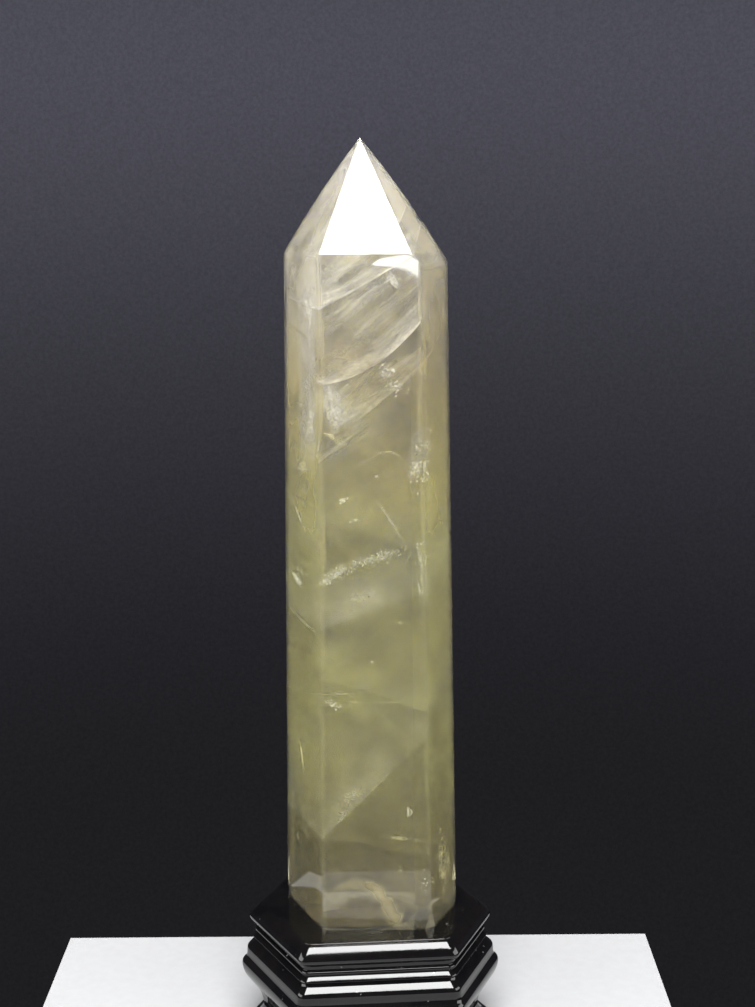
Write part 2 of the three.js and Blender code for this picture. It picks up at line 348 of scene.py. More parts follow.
def lacquer_material():
    """Deep black lacquer with a faint orange peel, smudges and a little dust."""
    material, nodes, links, shader = new_material("black_lacquer")
    where = object_coordinates(nodes)
    shade = noise_node(nodes, links, where, 90, 5)
    black = ramp_node(nodes, links, shade, [
        (0.35, (0.0015, 0.0015, 0.0018)),
        (0.70, (0.0035, 0.0030, 0.0030)),
    ])
    specks = noise_node(nodes, links, where, 620, 0)
    dust = ramp_node(nodes, links, specks, [(0.83, 0.0), (0.88, 0.13)])
    links.new(colour_math(nodes, links, "ADD", black, dust), shader.inputs["Base Color"])
    smudges = noise_node(nodes, links, where, 30, 6, 0.6)
    links.new(ramp_node(nodes, links, smudges, [(0.35, 0.06), (0.7, 0.12)]), shader.inputs["Roughness"])
    shader.inputs["IOR"].default_value = 1.5
    orange_peel = noise_node(nodes, links, where, 260, 3)
    links.new(bump_node(nodes, links, orange_peel, 0.018), shader.inputs["Normal"])
    return material


CREASED_ANGLE = math.radians(32)    # sharper edges of the stand stay sharp
CREASE = 0.9
ROUNDING_STEPS = 2


def smooth_tier(name, material):
    """A finer copy of one CAD tier, with its mouldings turned into true curves."""
    work = clean_copy(name)
    crease = work.edges.layers.float.new("crease_edge")
    for edge in work.edges:
        if len(edge.link_faces) == 2 and edge.calc_face_angle() > CREASED_ANGLE:
            edge[crease] = CREASE
    mesh = bpy.data.meshes.new(name + "_finish")
    work.to_mesh(mesh)
    work.free()
    tier = bpy.data.objects.new(name + "_finish", mesh)
    bpy.context.scene.collection.objects.link(tier)
    mesh.materials.append(material)
    for polygon in mesh.polygons:
        polygon.use_smooth = True
    smoothing = tier.modifiers.new("mouldings", "SUBSURF")
    smoothing.levels = ROUNDING_STEPS
    smoothing.render_levels = ROUNDING_STEPS
    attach(tier, "root")
    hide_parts(name)


def finish_stand():
    material = lacquer_material()
    for name in ("stand_top_plate", "stand_neck_tier", "stand_base_tier", "stand_foot"):
        smooth_tier(name, material)


# ---- what is sealed in the crystal --------------------------------------------------------
# Places in here are (x, y, height): millimetres in the frame, with height above the
# crystal's own base.  The face that looks along -Y is at about y = -24.

SEAL = 0.5 * MM                     # how far every inclusion stays inside the surface
LARGE_FACE = 20 * MM * MM           # smaller faces are only chips
FRACTURE_REACH = 46                 # millimetres: half a fracture's width before it is cut
RIM_WIDTH = 3                       # millimetres
EVERYWHERE = (0, 0, 200, 200)       # a patch that takes in the whole crystal
ZONE_REACH = 36 * MM                # half a growth zone's width before it is cut
ZONE_THINNEST = 0.45                # how strong growth zones are low down
ZONE_THICKENS = (0.45, 0.70)        # the shares of the height between which they grow stronger


def in_crystal(x, y, height):
    return Vector((x * MM, y * MM, CRYSTAL_BASE + height * MM))


def crystal_planes():
    """(normal, distance) of every large face of the crystal."""
    work = clean_copy("crystal_point")
    planes = [
        (face.normal.copy(), face.normal.dot(face.calc_center_median()))
        for face in work.faces
        if face.calc_area() > LARGE_FACE
    ]
    work.free()
    return planes


PLANES = crystal_planes()


def depth_inside(point):
    """How far a point is below the nearest face of the crystal."""
    return min(distance - normal.dot(point) for normal, distance in PLANES)


def keep_inside(work):
    """Cuts a mesh back to the sealed inside of the crystal."""
    for normal, distance in PLANES:
        everything = work.verts[:] + work.edges[:] + work.faces[:]
        bmesh.ops.bisect_plane(work, geom=everything, plane_co=normal * (distance - SEAL),
                               plane_no=normal, clear_outer=True)


def add_inclusion(name, work, material, smooth=True):
    """Links a finished inclusion mesh as a piece that rides with the crystal."""
    mesh = bpy.data.meshes.new(name)
    work.to_mesh(mesh)
    work.free()
    mesh.materials.append(material)
    mesh.polygons.foreach_set("use_smooth", [smooth] * len(mesh.polygons))
    piece = bpy.data.objects.new(name, mesh)
    bpy.context.scene.collection.objects.link(piece)
    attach(piece, "root")


def swell(x, y, size, seed):
    """Smooth noise from -1 to 1 whose swells are about `size` millimetres apart."""
    return noise.noise(Vector((x / size, y / size, seed)))


def grid_faces(work, rows):
    for lower, upper in zip(rows, rows[1:]):
        for column in range(len(lower) - 1):
            work.faces.new((lower[column], lower[column + 1], upper[column + 1], upper[column]))


def patch_share(x, y, patch):
    """1 well inside an elliptical patch (x, y, half_width, half_depth), 0 outside it."""
    patch_x, patch_y, half_width, half_depth = patch
    away = math.hypot((x - patch_x) / half_width, (y - patch_y) / half_depth)
    return min(1.0, max(0.0, 2 * (1 - away)))


def fracture(name, height, slope_x, slope_y, material, seed, wave, cover, rim, bend=0.0,
             fade=0.0, glow=(), patch=EVERYWHERE, cells=80):
    """A wavy sheet right across the crystal: height + slope_x * x + slope_y * y.

    `bend` lifts it with the square of x, and `wave` is how high its swells are.  Its
    `strength`, which its material turns into milkiness, is `cover`, more by `rim` at its
    edge, or faded to nothing there over `fade` millimetres, and more at each (x, y, radius,
    amount) of `glow`.  It dies out towards the outside of `patch`.
    """
    work = bmesh.new()
    layer = work.verts.layers.float.new("strength")
    rows = []
    for row in range(cells + 1):
        y = FRACTURE_REACH * (2 * row / cells - 1)
        line = []
        for column in range(cells + 1):
            x = FRACTURE_REACH * (2 * column / cells - 1)
            level = height + slope_x * x + slope_y * y + bend * x * x
            level += wave * (swell(x, y, 19, seed) + 0.07 * swell(x, y, 5, seed + 9))
            line.append(work.verts.new(in_crystal(x, y, level)))
        rows.append(line)
    grid_faces(work, rows)
    keep_inside(work)
    for vert in work.verts:
        x, y = vert.co.x / MM, vert.co.y / MM
        strength = cover
        for spot_x, spot_y, radius, amount in glow:
            away = math.hypot(x - spot_x, y - spot_y) / radius
            strength += amount * math.exp(-away * away)
        buried = max(0.0, depth_inside(vert.co) - SEAL) / MM
        strength += rim * (1 - min(1.0, buried / RIM_WIDTH))
        if fade > 0:
            strength *= min(1.0, buried / fade)
        vert[layer] = strength * patch_share(x, y, patch)
    add_inclusion(name, work, material)


def growth_zone(name, plane, depth, material, seed, cover, fade=2.5, cells=60):
    """A milky growth zone parallel to one face of the crystal, `depth` millimetres below it.

    It is weaker in the crystal's lower half, and fades over `fade` millimetres at its edges.
    """
    normal, distance = PLANES[plane]
    across = Vector((0, 0, 1)).cross(normal).normalized()
    upward = normal.cross(across)
    low, high = CRYSTAL_BASE, CRYSTAL_BASE + CRYSTAL_LENGTH
    work = bmesh.new()
    layer = work.verts.layers.float.new("strength")
    rows = []
    for row in range(cells + 1):
        level = low + (high - low) * row / cells
        line = []
        for column in range(cells // 2 + 1):
            u = ZONE_REACH * (4 * column / cells - 1)
            lift = swell(u / MM, level / MM, 30, seed)
            foot = normal * (distance - (depth + lift) * MM)
            climb = (level - foot.z) / upward.z
            line.append(work.verts.new(foot + across * u + upward * climb))
        rows.append(line)
    grid_faces(work, rows)
    keep_inside(work)
    others = [other for index, other in enumerate(PLANES) if index != plane]
    thin_below, thick_above = ZONE_THICKENS
    for vert in work.verts:
        buried = min(apart - facing.dot(vert.co) for facing, apart in others) - SEAL
        rise = (vert.co.z - CRYSTAL_BASE) / CRYSTAL_LENGTH
        thickening = min(1.0, max(0.0, (rise - thin_below) / (thick_above - thin_below)))
        thickness = ZONE_THINNEST + (1 - ZONE_THINNEST) * thickening
        vert[layer] = cover * thickness * min(1.0, max(0.0, buried / MM) / fade)
    add_inclusion(name, work, material)


def feather(name, centre, facing, turn, half_width, half_height, material, seed, crumple, amount):
    """A leaf-shaped crumpled patch, strongest in the middle.

    `facing` is the (azimuth, elevation) that it looks along, with azimuth 0 along -Y, and
    `turn` leans it to the right about that.  `crumple` is how deep its folds are.
    """
    cells = 26
    folds = 9                       # how far the noise of the folds runs from middle to edge
    out = towards(*facing)
    azimuth = math.radians(facing[0])
    across = Vector((math.cos(azimuth), math.sin(azimuth), 0))
    upward = out.cross(across) * -1
    lean = math.radians(turn)
    side = across * math.cos(lean) - upward * math.sin(lean)
    rise = across * math.sin(lean) + upward * math.cos(lean)
    middle = in_crystal(*centre)
    work = bmesh.new()
    layer = work.verts.layers.float.new("strength")
    rows = []
    for row in range(cells + 1):
        v = 2 * row / cells - 1
        line = []
        for column in range(cells + 1):
            u = 2 * column / cells - 1
            fold_u, fold_v = u * folds, v * folds
            lift = swell(fold_u, fold_v, 5, seed) + 0.5 * swell(fold_u, fold_v, 2, seed + 5)
            lift *= crumple
            place = middle + (side * (u * half_width) + rise * (v * half_height) + out * lift) * MM
            vert = work.verts.new(place)
            ragged = math.hypot(u, v) + 0.25 * swell(fold_u, fold_v, 3, seed + 3)
            vert[layer] = amount * max(0.0, 1 - ragged * ragged)
            line.append(vert)
        rows.append(line)
    grid_faces(work, rows)
    empty = [face for face in work.faces if all(vert[layer] <= 0 for vert in face.verts)]
    bmesh.ops.delete(work, geom=empty, context="FACES")
    keep_inside(work)
    add_inclusion(name, work, material)


def smooth_path(points, steps):
    """A curve through the points, with `steps` pieces between two of them."""
    padded = [points[0] * 2 - points[1], *points, points[-1] * 2 - points[-2]]
    path = []
    for before, start, end, after in zip(padded, padded[1:], padded[2:], padded[3:]):
        for step in range(steps):
            t = step / steps
            path.append(0.5 * ((2 * start) + (end - before) * t
                               + (2 * before - 5 * start + 4 * end - after) * t * t
                               + (3 * start - before - 3 * end + after) * t * t * t))
    path.append(points[-1])
    return path


def vein(name, points, width, material, seed, width_along=(0.35, 0.3, 1.0), amount=1.0):
    """A narrow ribbon through the points, fading to its sides and ends.

    Its width lies along the direction `width_along`.
    """
    across_cells = 6
    path = smooth_path([in_crystal(*point) for point in points], 10)
    across = Vector(width_along).normalized()
    work = bmesh.new()
    layer = work.verts.layers.float.new("strength")
    rows = []
    for index, place in enumerate(path):
        along = index / (len(path) - 1)
        swelling = 0.6 + 0.4 * swell(index, 0, 4, seed)
        line = []
        for column in range(across_cells + 1):
            u = 2 * column / across_cells - 1
            vert = work.verts.new(place + across * (u * width * swelling * MM / 2))
            vert[layer] = amount * (1 - u * u) * min(1.0, 5 * along, 5 * (1 - along))
            line.append(vert)
        rows.append(line)
    grid_faces(work, rows)
    keep_inside(work)
    add_inclusion(name, work, material)


def web(name, upper, lower, profile, material, side_fade):
    """A sheet stretched between two curves, each given by as many points.

    `profile` is its strength at even steps from the upper curve to the lower one, and it
    dies out over the share `side_fade` at either end.
    """
    cells = 12
    top = smooth_path([in_crystal(*point) for point in upper], 8)
    bottom = smooth_path([in_crystal(*point) for point in lower], 8)
    work = bmesh.new()
    layer = work.verts.layers.float.new("strength")
    rows = []
    for index, (start, end) in enumerate(zip(top, bottom)):
        along = index / (len(top) - 1)
        ends = min(1.0, along / side_fade, (1 - along) / side_fade) if side_fade > 0 else 1.0
        line = []
        for column in range(cells + 1):
            share = column / cells
            step = share * (len(profile) - 1)
            lower_step = min(int(step), len(profile) - 2)
            here = profile[lower_step]
            strength = here + (profile[lower_step + 1] - here) * (step - lower_step)
            vert = work.verts.new(start.lerp(end, share))
            vert[layer] = strength * ends
            line.append(vert)
        rows.append(line)
    grid_faces(work, rows)
    keep_inside(work)
    add_inclusion(name, work, material)


def flakes(name, places, size, material, seed):
    """Many tiny glinting cracks, each a bent irregular platelet, joined in one mesh.

    `places` is a list of (centre, spread, count) with the spread in each direction.  They
    lie nearly parallel, as cleavage cracks do, and look a little upwards.
    """
    draw = random.Random(seed)
    work = bmesh.new()
    for centre, spread, count in places:
        for _ in range(count):
            offset = [draw.gauss(0, s / 2) for s in spread]
            middle = in_crystal(*(c + o for c, o in zip(centre, offset)))
            if depth_inside(middle) < SEAL + size * MM:
                continue
            normal = Vector((draw.gauss(0, 0.3), -0.9, draw.gauss(0.6, 0.25))).normalized()
            side = normal.orthogonal().normalized()
            other = normal.cross(side)
            radius = size * MM * draw.uniform(0.3, 1.0)
            corners = draw.choice((4, 5, 6))
            stretch = draw.uniform(0.4, 1.0)
            hub = work.verts.new(middle + normal * radius * 0.25)
            ring = []
            for corner in range(corners):
                angle = 2 * math.pi * (corner + draw.uniform(-0.3, 0.3)) / corners
                reach = radius * draw.uniform(0.7, 1.0)
                ring.append(work.verts.new(middle + side * math.cos(angle) * reach
                                           + other * math.sin(angle) * reach * stretch))
            for start, end in zip(ring, ring[1:] + ring[:1]):
                work.faces.new((hub, start, end))
    add_inclusion(name, work, material, smooth=False)


def sheet_flakes(name, height, slope_x, slope_y, spots, size, material, seed):
    """Flakes strewn along one fracture: each spot is (x, y, radius, count)."""
    places = [((x, y, height + slope_x * x + slope_y * y), (radius, radius, radius * 0.35), count)
              for x, y, radius, count in spots]
    flakes(name, places, size, material, seed)


# ---- materials of the inclusions ----------------------------------------------------------

def strength_node(nodes):
    strength = nodes.new("ShaderNodeAttribute")
    strength.attribute_name = "strength"
    return strength.outputs["Fac"]


def haze_material(name, scale, low, high, smoke_colour, stretch=(1, 1, 1)):
    """Fine milky haze: soft clouds, tinted by `smoke_colour` in places."""
    material, nodes, links, shader = new_material(name)
    where = object_coordinates(nodes)
    stretched = nodes.new("ShaderNodeMapping")
    stretched.inputs["Scale"].default_value = stretch
    links.new(where, stretched.inputs["Vector"])
    cloud = noise_node(nodes, links, stretched.outputs["Vector"], scale, 6, 0.5)
    cloudy = ramp_node(nodes, links, cloud, [(0.3, low), (0.7, high)], "EASE")
    alpha = math_node(nodes, links, "MULTIPLY", cloudy, strength_node(nodes), clamp=True)
    links.new(alpha, shader.inputs["Alpha"])
    smoke = noise_node(nodes, links, stretched.outputs["Vector"], 0.6 * scale, 3, 0.5)
    smoky = ramp_node(nodes, links, smoke, [(0.38, smoke_colour), (0.60, (1.0, 1.0, 1.0))])
    tint = height_tint(nodes, links, where, HAZE_TINTS)
    links.new(colour_math(nodes, links, "MULTIPLY", tint, smoky), shader.inputs["Base Color"])
    shader.inputs["Roughness"].default_value = 0.8
    shader.inputs["Specular IOR Level"].default_value = 0.0
    return material


def veil_material(name, colour, scale, streak_turn=0.0, streak=(1, 1, 1), cover=1.0, least=0.08):
    """Milky sheets of tiny fluid bubbles: clouded, streaked and see-through in between.

    `least` is how milky the clearest places still are.
    """
    material, nodes, links, shader = new_material(name)
    where = object_coordinates(nodes)
    turned = nodes.new("ShaderNodeMapping")
    turned.inputs["Rotation"].default_value = (0, math.radians(streak_turn), 0)
    links.new(where, turned.inputs["Vector"])
    stretched = nodes.new("ShaderNodeMapping")
    stretched.inputs["Scale"].default_value = streak
    links.new(turned.outputs["Vector"], stretched.inputs["Vector"])
    cloud = noise_node(nodes, links, stretched.outputs["Vector"], scale, 6, 0.52, 0.2)
    grains = noise_node(nodes, links, where, 900, 3, 0.7)
    middling = 0.4 + 0.4 * least
    cloudy = ramp_node(nodes, links, cloud, [(0.34, least), (0.52, middling), (0.70, 1.0)], "EASE")
    speckle = ramp_node(nodes, links, grains, [(0.42, 0.65), (0.62, 1.0)])
    alpha = math_node(nodes, links, "MULTIPLY", cloudy, speckle)
    alpha = math_node(nodes, links, "MULTIPLY", alpha, strength_node(nodes))
    alpha = math_node(nodes, links, "MULTIPLY", alpha, cover, clamp=True)
    links.new(alpha, shader.inputs["Alpha"])
    tint = ramp_node(nodes, links, cloud, [(0.35, tuple(0.85 * c for c in colour)), (0.7, colour)])
    links.new(tint, shader.inputs["Base Color"])
    shader.inputs["Roughness"].default_value = 0.35
    return material


def smoke_material(name, dark, light):
    """Brownish smoke, uneven and soft."""
    material, nodes, links, shader = new_material(name)
    where = object_coordinates(nodes)
    cloud = noise_node(nodes, links, where, 60, 5, 0.5)
    thickness = ramp_node(nodes, links, cloud, [(0.3, 0.25), (0.7, 0.7)])
    alpha = math_node(nodes, links, "MULTIPLY", thickness, strength_node(nodes), clamp=True)
    links.new(alpha, shader.inputs["Alpha"])
    links.new(ramp_node(nodes, links, cloud, [(0.35, dark), (0.65, light)]), shader.inputs["Base Color"])
    shader.inputs["Roughness"].default_value = 0.8
    shader.inputs["Specular IOR Level"].default_value = 0.0
    return material


def flake_material(name, colour):
    """Glassy crack faces that mirror the light."""
    material, nodes, links, shader = new_material(name)
    where = object_coordinates(nodes)
    patch = noise_node(nodes, links, where, 900, 3, 0.6)
    tint = ramp_node(nodes, links, patch, [(0.35, tuple(0.8 * c for c in colour)), (0.65, colour)])
    links.new(tint, shader.inputs["Base Color"])
    shader.inputs["Metallic"].default_value = 0.15
    shader.inputs["Roughness"].default_value = 0.2
    shader.inputs["IOR"].default_value = 1.9
    return material


# ---- where the inclusions are -------------------------------------------------------------

HAZE_PLANES = 15
HAZE_SLOPE = 1.15
HAZE_WANDER = 17                    # degrees that their directions vary by
ZONE_DEPTH = 2.2                    # millimetres below the face
FRONT_CLOUD_DEPTH = 2.8


def make_haze():
    """Milky planes along the crystal's three rhombohedral directions, stacked up its height."""
    haze = haze_material("citrine_haze", scale=36, low=0.06, high=0.30, smoke_colour=(0.62, 0.53, 0.33))
    for index in range(HAZE_PLANES):
        height = (CRYSTAL_LENGTH / MM) * (index + 0.3) / HAZE_PLANES
        turn = math.radians(-90 + 120 * (index % 3) + HAZE_WANDER * math.sin(index * 2.3))
        slope_x = -HAZE_SLOPE * math.cos(turn)
        slope_y = -HAZE_SLOPE * math.sin(turn)
        fracture(f"haze_{index + 1:02d}", height, slope_x, slope_y, haze, seed=40 + 7 * index,
                 wave=2.0, cover=1.0, rim=0.0, cells=44)


# The growth zones: the azimuth from -Y of the face above each, whether that face is one of
# the point, and how milky the zone is.
ZONES = {
    "left": (-60, False, 1.3),
    "right": (60, False, 1.3),
    "back_left": (-120, False, 1.0),
    "back_right": (120, False, 1.0),
    "back": (180, False, 1.0),
    "point_left": (-60, True, 1.0),
    "point_right": (60, True, 1.0),
    "point_back_left": (-120, True, 1.2),
    "point_back_right": (120, True, 1.2),
    "point_back": (180, True, 1.2),
}


SLOPING = 0.2                       # a face of the point looks up by more than this
LEVEL = 0.95                        # a level face looks up or down by more than this


def find_plane(azimuth, sloping):
    """The place in PLANES of the prism or sloping face that looks nearest to an azimuth."""
    turn = math.radians(azimuth)
    wanted = Vector((math.sin(turn), -math.cos(turn), 0))
    candidates = [
        index for index, (normal, _) in enumerate(PLANES)
        if (normal.z > SLOPING) == sloping and abs(normal.z) < LEVEL
    ]
    return max(candidates, key=lambda index: PLANES[index][0].dot(wanted))


def make_growth_zones():
    """Milk under the side and back faces and the point, and faint clouds under the front."""
    milk = haze_material("growth_zone_milk", scale=40, low=0.18, high=0.44,
                         smoke_colour=(0.90, 0.85, 0.72), stretch=(1, 1, 0.6))
    for index, (name, (azimuth, sloping, cover)) in enumerate(ZONES.items()):
        plane = find_plane(azimuth, sloping)
        growth_zone("zone_" + name, plane, ZONE_DEPTH, milk, seed=3.3 + 5 * index, cover=cover)
    clouds = haze_material("front_clouds", scale=62, low=0.0, high=0.30, smoke_colour=(0.72, 0.64, 0.44))
    growth_zone("zone_front", find_plane(0, False), FRONT_CLOUD_DEPTH, clouds, seed=71.3, cover=1.0)


def inclusion_looks():
    """The materials of the inclusions, by plain name."""
    return SimpleNamespace(
        pale=veil_material("milky_veil", (0.95, 0.94, 0.88), 120, cover=1.7),
        even=veil_material("even_veil", (0.95, 0.95, 0.89), 75, cover=1.1, least=0.55),
        beige=veil_material("beige_veil", (0.95, 0.91, 0.80), 60, cover=1.1, least=0.55),
        crest=veil_material("crest_milk", (0.93, 0.94, 0.95), 300, cover=1.9, least=0.05),
        comb=veil_material("comb_veil", (0.94, 0.93, 0.78), 210, -42, (0.3, 1, 1), cover=1.2, least=0.3),
        side=veil_material("side_milk", (0.97, 0.97, 0.98), 120, 0, (1, 1, 0.5), cover=0.8, least=0.4),
        feather=veil_material("feather_milk", (0.98, 0.98, 0.97), 110, 30, (0.6, 1, 1), cover=2.2,
                              least=0.3),
        swept=veil_material("swept_veil", (0.96, 0.94, 0.88), 85, 38, (0.45, 1, 1), cover=1.7,
                            least=0.14),
        # white: milk in the half-moon mark, and painted light under the front shoulder and in the right
        # vein's glint
        white=veil_material("milk_and_painted_light_white", (0.98, 0.98, 0.97), 30, cover=3.0, least=0.8),
        golden=veil_material("golden_veil", (0.95, 0.89, 0.62), 220, cover=2.0),
        arch=smoke_material("arch_gold", dark=(0.60, 0.51, 0.27), light=(0.86, 0.77, 0.47)),
        smoke=smoke_material("dark_smoke", dark=(0.10, 0.085, 0.045), light=(0.17, 0.15, 0.09)),
        white_flake=flake_material("white_flake", (0.92, 0.93, 0.96)),
        golden_flake=flake_material("golden_flake", (0.93, 0.87, 0.66)),
    )


# The great tilted fracture half way up: its height on the axis, and its rise along x and y.
MIDDLE_FRACTURE = (157.9, 0.37, 0.30)


def make_middle_fracture(looks):
    """The great tilted fracture, with its speckled crest, its clouded body and its left end."""
    fracture("fracture_middle", *MIDDLE_FRACTURE, looks.even, seed=3.1, wave=0.5, cover=0.17, rim=0.05,
             glow=((-10, -15, 15, 0.12), (6, -10, 15, 0.12)))
    web("fracture_crest",
        upper=((-18.2, -22, 167.2), (-12.5, -22, 171.2), (-4.5, -22, 174.9), (4.5, -22, 177.0),
               (13.6, -21.8, 179.0)),
        lower=((-18.2, -22, 160.3), (-12.5, -22, 165.1), (-4.5, -22, 169.7), (4.5, -22, 172.1),
               (13.6, -21.8, 174.7)),
        profile=(0.0, 0.22, 0.38, 0.50, 0.0), material=looks.crest, side_fade=0.1)
    web("fracture_body",
        upper=((-18.2, -21.8, 161.5), (-12.5, -21.8, 166), (-4.5, -21.8, 170.5), (4.5, -21.8, 173),
               (15.0, -21.6, 175.5)),
        lower=((-18.2, -21.8, 141.5), (-12.5, -21.8, 143.5), (-4.5, -21.8, 147), (4.5, -21.8, 151),
               (15.0, -21.6, 153)),
        profile=(0.0, 0.07, 0.14, 0.20, 0.27, 0.30, 0.08), material=looks.beige, side_fade=0.35)
    flakes("fracture_crest_flakes",
           [((-16.5, -21.5, 164.2), (2.4, 0.6, 1.8), 40),
            ((-11, -21.5, 168.2), (4, 0.6, 1.6), 40),
            ((-2, -21.5, 172.2), (5, 0.6, 1.6), 30),
            ((5, -21.5, 175.2), (3, 0.6, 2.2), 24),
            ((21, -19.5, 179.0), (1.6, 0.6, 1.4), 8)],
           size=0.42, material=looks.white_flake, seed=16)
    feather("fracture_left", centre=(-28, -4, 159.5), facing=(-60, 0), turn=75, half_width=2.2,
            half_height=5.5, material=looks.feather, seed=12.5, crumple=0.5, amount=0.7)
    vein("fracture_left_line",
         ((-33, 3.0, 146), (-28, -5.0, 143.3), (-23, -13.5, 141.5), (-20.2, -18.6, 141.6)),
         width=2.6, material=looks.feather, seed=13.5, width_along=(-0.3, -0.3, 1), amount=0.5)
    sheet_flakes("fracture_middle_flakes", *MIDDLE_FRACTURE,
                 ((-14, 18, 7, 90), (-7, 21, 6, 90), (3, 22, 7, 60), (16, 17, 8, 40)),
                 size=0.4, material=looks.white_flake, seed=11)


def make_low_fracture(looks):
    """The steep fracture near the foot, with its comb-like edge and the smoky corner below it."""
    fracture("fracture_low", 87.3, 1.03, 0.70, looks.even, seed=7.7, wave=0.6, cover=0.16, rim=0.05,
             glow=((-8, -22, 16, 0.22),))
    web("comb_edge",
        upper=((-23, -18, 62), (-17, -21.5, 69), (-9, -21.5, 78), (-1, -21.5, 88), (7, -21.5, 98)),
        lower=((-18, -21.5, 51), (-10.5, -21.5, 58.2), (-3.6, -21.5, 65), (4.0, -21.5, 73.6),
               (12.5, -21.5, 84)),
        profile=(0.0, 0.05, 0.10, 0.20, 0.32, 0.1), material=looks.comb, side_fade=0.12)
    web("smoky_below",
        upper=((-17.5, -21.5, 52), (-8, -21.5, 60), (4, -21.5, 72), (14, -21.5, 83), (24, -20.5, 94)),
        lower=((-17.5, -21.5, 46), (-8, -21.5, 46), (4, -21.5, 46), (14, -21.5, 47), (24, -20.5, 48)),
        profile=(0.0, 0.35, 0.38, 0.3, 0.0), material=looks.smoke, side_fade=0.05)


def make_small_fracture(looks):
    """The faint level fracture between the two great ones, with a bright patch and a line."""
    fracture("fracture_lower_middle", 111, 0.06, -0.22, looks.pale, seed=31.0, wave=0.6, cover=0.15,
             rim=0.1, glow=((-14, -18, 5, 0.4),))
    feather("patch_low", centre=(-14.6, -21.6, 111.2), facing=(0, 25), turn=80, half_width=1.8,
            half_height=4.5, material=looks.feather, seed=10.5, crumple=0.5, amount=0.28)
    vein("line_low", ((-11, -22, 111.9), (2, -22, 111.2), (12, -22, 111.4), (23, -20.5, 112)),
         width=1.8, material=looks.pale, seed=11.5, width_along=(0.2, 0, 1), amount=0.22)


# The lesser swept veils: height on the axis, rise along x and y, cover, and the place in x
# and y of the patch that each one fills.
SWEPT_VEILS = (
    (228, 0.70, 0.30, 0.45, -12, -8),
    (241, 0.80, 0.35, 0.55, 8, -10),
    (252, 0.85, 0.25, 0.60, -6, -6),
    (271, 0.80, 0.30, 0.55, 12, -8),
    (284, 0.75, 0.40, 0.50, -4, -10),
    (300, 0.80, 0.30, 0.70, 4, -6),
)


def make_swept_veils(looks):
    """The streaked veils of the upper third, which all rise to the right."""
    fracture("veil_high", 263, 0.53, 0.55, looks.swept, seed=12.3, wave=0.7, bend=0.0144, cover=0.7,
             rim=0.2, patch=(6, -14, 32, 30), glow=((8, -20, 12, 0.5),))
    for index, (height, slope_x, slope_y, cover, x, y) in enumerate(SWEPT_VEILS):
        fracture(f"veil_swept_{index + 1}", height, slope_x, slope_y, looks.swept, seed=17.4 + 3 * index,
                 wave=0.8, cover=cover, rim=0.0, patch=(x, y, 26, 24), fade=1.0, cells=60)
    fracture("veil_top", 294, 0.55, 0.45, looks.swept, seed=21.9, wave=0.6, cover=0.6, rim=0.3,
             patch=(-3, -12, 34, 30), glow=((-14, -20, 9, 0.7),))


def make_feathers(looks):
    """The whitish feather at the left with its golden tail, and a small one near the top."""
    feather("feather_great", centre=(-12.0, -17.0, 240), facing=(-8, 14), turn=36, half_width=7.0,
            half_height=17, material=looks.feather, seed=5.5, crumple=1.4, amount=0.42)
    feather("feather_core", centre=(-12.9, -20.3, 236), facing=(-6, 14), turn=14, half_width=5.2,
            half_height=12, material=looks.feather, seed=6.5, crumple=1.3, amount=0.62)
    feather("feather_tail", centre=(-11.5, -19.5, 223.3), facing=(8, 25), turn=62, half_width=1.6,
            half_height=6.5, material=looks.golden, seed=8.5, crumple=0.9, amount=0.9)
    feather("feather_top", centre=(11.5, -18, 286), facing=(0, 25), turn=35, half_width=2.2,
            half_height=5.0, material=looks.pale, seed=2.5, crumple=0.8, amount=1.0)


def make_upper_patches(looks):
    """The painted light under the front shoulder, a white sheet where refracted light shows, and the
    milk down both sides of the front face.
    """
    # painted light: a white sheet in place of the light that the point refracts under the front shoulder
    web("painted_light_shoulder",
        upper=((3.2, -21.7, 292.0), (6.9, -21.6, 294.0), (12.3, -21.6, 294.9), (17.7, -21.5, 295.2),
               (21.4, -21.0, 292.6)),
        lower=((4.2, -21.6, 291.4), (8.8, -21.6, 290.2), (13.0, -21.6, 289.2), (17.2, -21.6, 287.6),
               (21.6, -21.2, 284.6)),
        profile=(1.0, 1.0, 1.0, 0.7, 0.2, 0.0), material=looks.white, side_fade=0.03)
    feather("cloud_right", centre=(21, -15, 216), facing=(14, 12), turn=-12, half_width=4.5,
            half_height=13, material=looks.feather, seed=14.5, crumple=1.0, amount=0.45)
    web("left_face_band",
        upper=((-17.6, -20.3, 292), (-18.4, -19.3, 266), (-19.2, -19.0, 238), (-19.7, -18.8, 212)),
        lower=((-25.9, -5.1, 292), (-26.6, -4.2, 265), (-26.9, -5.1, 236), (-27.4, -5.1, 212)),
        profile=(0.8, 1.0, 1.0, 0.9, 0.55, 0.0), material=looks.side, side_fade=0.15)


